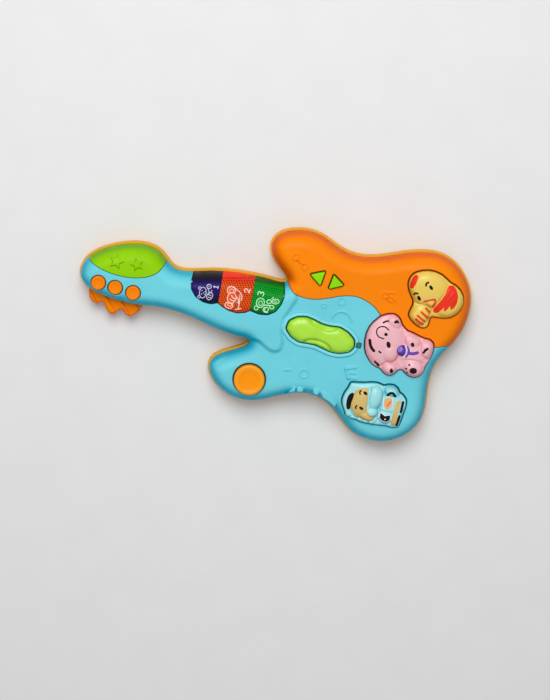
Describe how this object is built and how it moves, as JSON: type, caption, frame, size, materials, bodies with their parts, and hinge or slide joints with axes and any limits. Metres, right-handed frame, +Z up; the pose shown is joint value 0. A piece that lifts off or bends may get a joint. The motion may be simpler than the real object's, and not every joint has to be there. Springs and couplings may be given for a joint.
{
  "type": "toy electric guitar",
  "caption": "Flat toddler guitar with a horned body, short neck with piano keys, animal push buttons, a strum bar and a battery back.",
  "frame": {"origin": "centre of the overall box, on the flat back that the toy lies on", "axes": "+X along the neck from the headstock to the strap end, +Y across the body to the orange horn, +Z up out of the playing face"},
  "size_m": [0.357, 0.186, 0.0426],
  "materials": {
    "aqua_plastic": "smooth moulded, painted",
    "black_plastic": "matte",
    "blue_plastic": "smooth moulded, satin gloss",
    "cell_jacket": "printed sleeve",
    "circuit_board": "satin solder resist",
    "clear_lime_plastic": "glossy, slightly translucent",
    "green_plastic": "smooth moulded, printed",
    "iron": "matte",
    "lime_plastic": "smooth moulded, satin gloss",
    "navy_plastic": "smooth moulded, printed",
    "orange_plastic": "smooth moulded, satin gloss",
    "pale_yellow_plastic": "smooth moulded, painted",
    "pink_plastic": "smooth moulded, painted",
    "red_plastic": "smooth moulded, printed",
    "silicone": "matte",
    "steel": "plated",
    "yellow_plastic": "smooth moulded, satin gloss"
  },
  "bodies": {
    "case": {"animal_board": "circuit_board", "animal_board_screw": "steel", "battery_1": "cell_jacket", "battery_2": "cell_jacket", "battery_3": "cell_jacket", "battery_contacts_left": "steel", "battery_contacts_right": "steel", "body_panel": "orange_plastic", "case_screw_1": "steel", "case_screw_2": "steel", "case_screw_3": "steel", "case_screw_4": "steel", "case_screw_5": "steel", "case_screw_6": "steel", "case_screw_7": "steel", "case_screw_8": "steel", "case_screw_9": "steel", "chick_dome": "silicone", "front_shell": "blue_plastic", "headstock_cover": "lime_plastic", "key_1_dome": "silicone", "key_2_dome": "silicone", "key_3_dome": "silicone", "key_board": "circuit_board", "key_board_screw": "steel", "key_hinge_rod": "steel", "main_board": "circuit_board", "main_board_screw": "steel", "mode_board": "circuit_board", "mode_board_screw": "steel", "mode_dome": "silicone", "power_switch_body": "steel", "puppy_dome": "silicone", "rear_shell": "yellow_plastic", "speaker_basket": "steel", "speaker_cone": "black_plastic", "speaker_magnet": "iron", "status_led": "clear_lime_plastic", "status_lens": "clear_lime_plastic", "strum_dome": "silicone", "tuner_rack": "orange_plastic", "volume_board": "circuit_board", "volume_board_screw": "steel", "volume_down_dome": "silicone", "volume_up_dome": "silicone", "walrus_dome": "silicone"},
    "strum_button": {"strum_button": "clear_lime_plastic"},
    "mode_button": {"mode_button": "orange_plastic"},
    "volume_down_button": {"volume_down_button": "lime_plastic"},
    "volume_up_button": {"volume_up_button": "lime_plastic"},
    "chick_button": {"chick_button": "pale_yellow_plastic"},
    "puppy_button": {"puppy_button": "pink_plastic"},
    "walrus_button": {"walrus_button": "aqua_plastic"},
    "key_1": {"key_1": "navy_plastic"},
    "key_2": {"key_2": "red_plastic"},
    "key_3": {"key_3": "green_plastic"},
    "battery_door": {"battery_door": "yellow_plastic", "battery_door_screw": "steel"},
    "power_switch": {"power_switch_knob": "black_plastic"}
  },
  "joints": [
    {"name": "strum_press", "type": "slide", "parent": "case", "child": "strum_button", "axis": [0, 0, -1], "range_m": [0, 0.002], "stiffness_N_per_m": 400, "springref_m": -0.0015, "deforming": ["strum_dome"]},
    {"name": "mode_press", "type": "slide", "parent": "case", "child": "mode_button", "axis": [0, 0, -1], "range_m": [0, 0.0025], "stiffness_N_per_m": 400, "springref_m": -0.0015, "deforming": ["mode_dome"]},
    {"name": "volume_down_press", "type": "slide", "parent": "case", "child": "volume_down_button", "axis": [0, 0, -1], "range_m": [0, 0.0015], "stiffness_N_per_m": 300, "springref_m": -0.0015, "deforming": ["volume_down_dome"]},
    {"name": "volume_up_press", "type": "slide", "parent": "case", "child": "volume_up_button", "axis": [0, 0, -1], "range_m": [0, 0.0015], "stiffness_N_per_m": 300, "springref_m": -0.0015, "deforming": ["volume_up_dome"]},
    {"name": "chick_press", "type": "slide", "parent": "case", "child": "chick_button", "axis": [0, 0, -1], "range_m": [0, 0.0025], "stiffness_N_per_m": 400, "springref_m": -0.0015, "deforming": ["chick_dome"]},
    {"name": "puppy_press", "type": "slide", "parent": "case", "child": "puppy_button", "axis": [0, 0, -1], "range_m": [0, 0.0025], "stiffness_N_per_m": 400, "springref_m": -0.0015, "deforming": ["puppy_dome"]},
    {"name": "walrus_press", "type": "slide", "parent": "case", "child": "walrus_button", "axis": [0, 0, -1], "range_m": [0, 0.0025], "stiffness_N_per_m": 400, "springref_m": -0.0015, "deforming": ["walrus_dome"]},
    {"name": "key_1_rock", "type": "hinge", "parent": "case", "child": "key_1", "pos_m": [-0.077, 0.0115, 0.028], "axis": [0.9945, 0.1045, 0], "range_deg": [0, 6], "stiffness_Nm_per_rad": 0.05, "springref_deg": -8.59, "deforming": ["key_1_dome"]},
    {"name": "key_2_rock", "type": "hinge", "parent": "case", "child": "key_2", "pos_m": [-0.077, 0.0115, 0.028], "axis": [0.9945, 0.1045, 0], "range_deg": [0, 6], "stiffness_Nm_per_rad": 0.05, "springref_deg": -8.59, "deforming": ["key_2_dome"]},
    {"name": "key_3_rock", "type": "hinge", "parent": "case", "child": "key_3", "pos_m": [-0.077, 0.0115, 0.028], "axis": [0.9945, 0.1045, 0], "range_deg": [0, 6], "stiffness_Nm_per_rad": 0.05, "springref_deg": -8.59, "deforming": ["key_3_dome"]},
    {"name": "power_switch_slide", "type": "slide", "parent": "case", "child": "power_switch", "axis": [1, 0, 0], "range_m": [0, 0.006]},
    {"name": "battery_door_lift", "type": "slide", "parent": "case", "child": "battery_door", "axis": [0, 0, -1], "range_m": [0, 0.03]}
  ]
}
